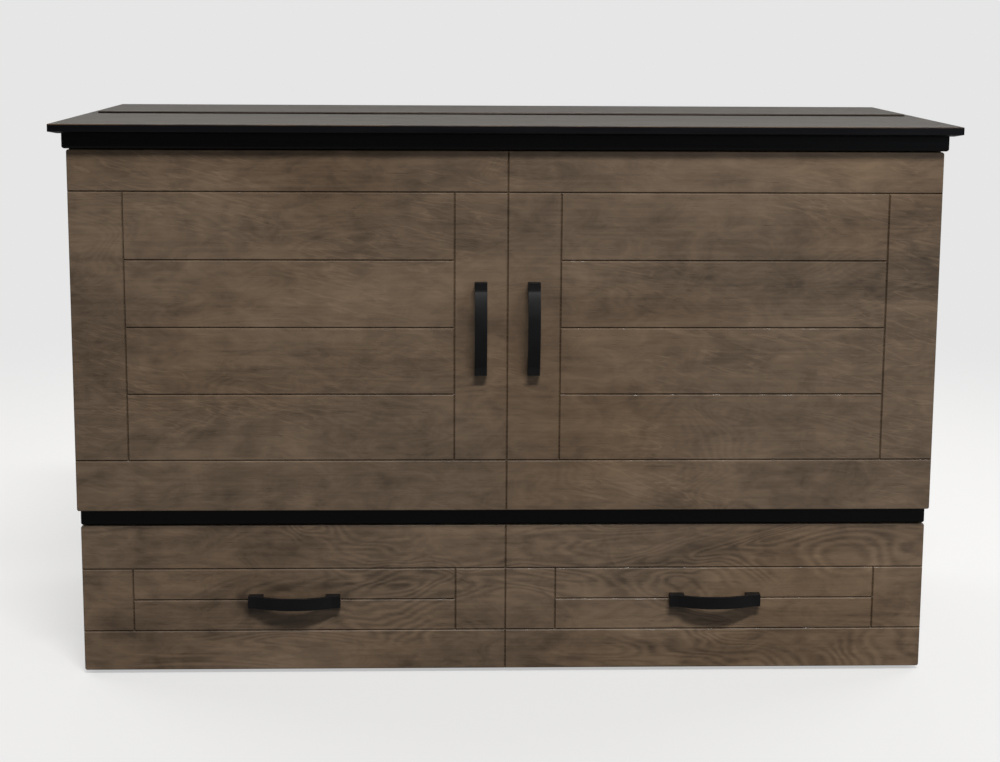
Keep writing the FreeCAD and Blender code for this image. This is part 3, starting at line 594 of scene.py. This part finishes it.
def screw_row(name, node, board):
    """A row of countersunk screws along X, in the hinge leaf that lies on a board."""
    low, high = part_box(node)
    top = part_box(board)[1].z + LEAF_THICK
    across = high.y - SCREW_INSET
    shape = bmesh.new()
    pitch = (high.x - low.x) / SCREW_COUNT
    for step in range(SCREW_COUNT):
        place = Matrix.Translation((low.x + pitch * (step + 0.5), across, top + SCREW_PROUD / 2))
        head = bmesh.ops.create_cone(
            shape, cap_ends=True, segments=24, radius1=SCREW_RADIUS, radius2=SCREW_RADIUS - SCREW_PROUD,
            depth=SCREW_PROUD, matrix=place,
        )
        above = {face for vert in head["verts"] for face in vert.link_faces if face.normal.z > 0.9}
        bmesh.ops.inset_region(shape, faces=list(above), thickness=SCREW_RADIUS * 0.45, depth=0.0)
        bmesh.ops.inset_region(shape, faces=list(above), thickness=SLOT_SLOPE, depth=-SLOT_DEPTH)
    new_piece(name, shape, BODY_OF[node], "zinc_steel", (), smooth_under=30)


for node in BODY_OF:
    if node.startswith("drawer_wheel"):
        wheel(node)

screw_row("deck_hinge_screws", "deck_hinge_deck_leaf", "deck_board")
screw_row("fold_hinge_screws", "fold_hinge_foot_leaf", "foot_panel")


# ---------------------------------------------------------------- webbing


def stitched_strap(node, upwards):
    """A flat strap with boxed crosses of thread that hold it to the covers."""
    softened(node, STRAP_ARRIS)
    low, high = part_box(node)
    face = high.z if upwards else low.z
    middle = (low.y + high.y) / 2
    reach_x = STITCH_LENGTH / 2
    reach_y = (high.y - low.y) / 2 - STITCH_INSET
    shape = bmesh.new()
    for step in range(STITCH_PATCHES):
        along = low.x + (high.x - low.x) * (step + 0.5) / STITCH_PATCHES
        corners = [
            Vector((along + reach_x * x, middle + reach_y * y, face))
            for x, y in ((-1, -1), (1, -1), (1, 1), (-1, 1))
        ]
        runs = list(zip(corners, corners[1:] + corners[:1]))
        runs += [(corners[0], corners[2]), (corners[1], corners[3])]
        for start, end in runs:
            line = end - start
            turn = Matrix.Rotation(math.atan2(line.y, line.x), 4, "Z")
            block(shape, (start + end) / 2, (line.length, THREAD_WIDTH, THREAD_THICK), turn)
    new_piece(f"{node}_stitching", shape, BODY_OF[node], "webbing", (), thread_finish)


thread_finish = knitted("stitching_thread", (0.52, 0.52, 0.52), (0.7, 0.7, 0.69), 0.8, 1.1 * MM)
stitched_strap("mattress_upper_webbing", True)
stitched_strap("mattress_lower_webbing", False)


# ---------------------------------------------------------------- mattress


def rounded_box(low, high, corner, segments=3):
    shape = bmesh.new()
    bmesh.ops.create_cube(shape, size=1.0)
    size = high - low
    bmesh.ops.scale(shape, vec=size, verts=shape.verts)
    bmesh.ops.translate(shape, vec=(low + high) / 2, verts=shape.verts)
    bmesh.ops.bevel(
        shape, geom=shape.edges[:], offset=corner, offset_type="OFFSET", affect="EDGES",
        segments=segments, profile=0.5, material=-1,
    )
    return shape


def applied(piece):
    """Gives the piece the mesh that its modifiers make, and takes them off."""
    seen = piece.evaluated_get(bpy.context.evaluated_depsgraph_get())
    mesh = bpy.data.meshes.new_from_object(seen)
    piece.modifiers.clear()
    piece.data = mesh


def inflate(piece, cap):
    """Blows the cover up from inside, moving no point further than `cap`."""
    scene = bpy.context.scene
    rest = [vertex.co.copy() for vertex in piece.data.vertices]
    cloth = piece.modifiers.new("cover", "CLOTH")
    cloth.settings.use_pressure = True
    cloth.settings.uniform_pressure_force = COVER_PRESSURE
    cloth.settings.effector_weights.gravity = 0.0
    cloth.settings.quality = 4
    cloth.point_cache.frame_start = 1
    cloth.point_cache.frame_end = COVER_FRAMES
    for step in range(1, COVER_FRAMES + 1):
        scene.frame_set(step)
    applied(piece)
    scene.frame_set(1)
    for vertex, start in zip(piece.data.vertices, rest):
        move = vertex.co - start
        if move.length > cap:
            vertex.co = start + move.normalized() * cap


def quilt(piece, low, high):
    """Sinks diagonal stitched channels into the two broad faces."""
    middle = (low.y + high.y) / 2
    half = (high.y - low.y) / 2
    for vertex in piece.data.vertices:
        place = vertex.co
        side = (place.y - middle) / half
        edge = min(place.x - low.x, high.x - place.x, place.z - low.z, high.z - place.z)
        if abs(side) < 0.6 or edge < QUILT_BORDER:
            continue
        fade = min((edge - QUILT_BORDER) / QUILT_BORDER, 1.0)
        sink = 0.0
        for run in (place.x + place.z, place.x - place.z):
            gap = abs((run / QUILT_PITCH) % 1.0 - 0.5) * QUILT_PITCH
            sink = max(sink, math.exp(-((gap / QUILT_WIDTH) ** 2)))
        place.y -= math.copysign(QUILT_DEPTH * sink * fade, side)


def paint_border(piece, top, border):
    """Gives the narrow sides the border fabric and the broad faces the top fabric."""
    dress(piece, top, border)
    for face in piece.data.polygons:
        face.use_smooth = True
        face.material_index = 0 if abs(face.normal.y) > 0.75 else 1


def mattress_section(node, border):
    low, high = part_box(node)
    swell = Vector((MATTRESS_SWELL,) * 3)
    shape = rounded_box(low + swell, high - swell, MATTRESS_CORNER)
    piece = new_piece(f"{node}_pad", shape, BODY_OF[node], SLOT_OF[node], (node,))
    remesh = piece.modifiers.new("even", "REMESH")
    remesh.mode = "VOXEL"
    remesh.voxel_size = MATTRESS_VOXEL
    applied(piece)
    inflate(piece, MATTRESS_SWELL - COVER_SLACK)
    finer = piece.modifiers.new("finer", "SUBSURF")
    finer.levels = 1
    finer.render_levels = 1
    applied(piece)
    quilt(piece, low, high)
    paint_border(piece, FINISHES["mattress_cover"], border)


def piping(node, material):
    """A corded edge round each broad face of a mattress section."""
    low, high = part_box(node)
    inset = PIPING_RADIUS + PIPING_INSET
    curve = bpy.data.curves.new(f"{node}_piping", "CURVE")
    curve.dimensions = "3D"
    curve.bevel_depth = PIPING_RADIUS
    curve.bevel_resolution = 2
    curve.resolution_u = 4
    for depth in (low.y + inset, high.y - inset):
        places = []
        for end_x, end_z in ((-1, -1), (1, -1), (1, 1), (-1, 1)):
            x = low.x + inset if end_x < 0 else high.x - inset
            z = low.z + inset if end_z < 0 else high.z - inset
            level = (x - end_x * PIPING_CORNER, z)
            upright = (x, z - end_z * PIPING_CORNER)
            before, after = (level, upright) if end_x * end_z > 0 else (upright, level)
            places += [before, (x, z), after]
        spline = curve.splines.new("NURBS")
        spline.points.add(len(places) - 1)
        for point, (x, z) in zip(spline.points, places):
            point.co = (x, depth, z, 1.0)
        spline.order_u = 3
        spline.use_cyclic_u = True
    holder = bpy.data.objects.new(f"{node}_piping_line", curve)
    bpy.context.scene.collection.objects.link(holder)
    seen = holder.evaluated_get(bpy.context.evaluated_depsgraph_get())
    shape = bmesh.new()
    shape.from_mesh(bpy.data.meshes.new_from_object(seen))
    bpy.data.objects.remove(holder)
    new_piece(f"{node}_piping", shape, BODY_OF[node], SLOT_OF[node], (node,), material, smooth_under=80)


border_fabric = knitted("mattress_border_knit", (0.30, 0.295, 0.29), (0.50, 0.495, 0.485), 0.8, 4.2 * MM)
piping_fabric = knitted("mattress_piping_knit", (0.14, 0.14, 0.145), (0.26, 0.26, 0.265), 0.5, 1.6 * MM)
for section in ("mattress_foot", "mattress_middle", "mattress_head"):
    mattress_section(section, border_fabric)
    piping(section, piping_fabric)


# ---------------------------------------------------------------- studio


def area_light(name, place, size, power, colour):
    """A lamp, out of the camera's sight, that faces the middle of the chest."""
    lamp = bpy.data.lights.new(name, "AREA")
    lamp.shape = "RECTANGLE"
    lamp.size, lamp.size_y = size
    lamp.energy = power
    lamp.color = colour
    aim = (cad_low + cad_high) / 2 - Vector(place)
    holder = bpy.data.objects.new(name, lamp)
    holder.location = place
    holder.rotation_euler = aim.to_track_quat("-Z", "Y").to_euler()
    holder.visible_camera = False
    bpy.context.scene.collection.objects.link(holder)


def surroundings():
    """A pale room to look at, which sheds only a little light of its own."""
    world = bpy.data.worlds.new("studio")
    world.use_nodes = True
    tree = world.node_tree
    tree.nodes.clear()
    seen = tree.nodes.new("ShaderNodeBackground")
    seen.inputs["Color"].default_value = (*BACKDROP, 1.0)
    shed = tree.nodes.new("ShaderNodeBackground")
    shed.inputs["Color"].default_value = (*BACKDROP, 1.0)
    shed.inputs["Strength"].default_value = ROOM_LIGHT
    ray = tree.nodes.new("ShaderNodeLightPath")
    choice = tree.nodes.new("ShaderNodeMixShader")
    end = tree.nodes.new("ShaderNodeOutputWorld")
    tree.links.new(ray.outputs["Is Camera Ray"], choice.inputs[0])
    tree.links.new(shed.outputs[0], choice.inputs[1])
    tree.links.new(seen.outputs[0], choice.inputs[2])
    tree.links.new(choice.outputs[0], end.inputs["Surface"])
    bpy.context.scene.world = world


def floor():
    """Pale paper that runs out of sight and only lightly takes shadows."""
    shape = bmesh.new()
    bmesh.ops.create_circle(shape, cap_ends=True, segments=96, radius=60.0)
    mesh = bpy.data.meshes.new("floor")
    shape.to_mesh(mesh)
    shape.free()
    thing = bpy.data.objects.new("floor", mesh)
    bpy.context.scene.collection.objects.link(thing)
    paper = Finish("floor_paper")
    seen = paper.node("ShaderNodeLightPath", output="Is Camera Ray")
    dull = paper.node("ShaderNodeBsdfDiffuse", None, {0: paper.mix(seen, FLOOR_FELT, FLOOR_SEEN)})
    glow = paper.node("ShaderNodeEmission", None, {0: (*BACKDROP, 1.0)})
    out = paper.node("ShaderNodeVectorMath", {"operation": "LENGTH"}, {0: paper.place}, output="Value")
    share = seen * (FLOOR_GLOW + (1 - FLOOR_GLOW) * paper.between(out, 1.2, 3.5))
    paper.node_end(paper.node("ShaderNodeMixShader", None, {0: share, 1: dull, 2: glow}))
    dress(thing, paper.material)


def camera():
    lens = bpy.data.cameras.new("camera")
    lens.sensor_width = SENSOR_WIDTH
    lens.lens = LENS_WIDTHS * SENSOR_WIDTH
    lens.shift_y = LENS_SHIFT
    lens.clip_end = 200.0
    holder = bpy.data.objects.new("camera", lens)
    holder.location = CAMERA_PLACE
    yaw, pitch, roll = (math.radians(angle) for angle in CAMERA_TURN)
    turn = Matrix.Rotation(yaw, 4, "Z") @ Matrix.Rotation(math.radians(90) - pitch, 4, "X")
    turn = turn @ Matrix.Rotation(roll, 4, "Z")
    holder.rotation_euler = turn.to_euler()
    bpy.context.scene.collection.objects.link(holder)
    bpy.context.scene.camera = holder


for name, (place, size, power, colour) in LIGHTS.items():
    area_light(name, place, size, power, colour)
surroundings()
floor()
camera()
bpy.context.scene.view_settings.view_transform = "Standard"
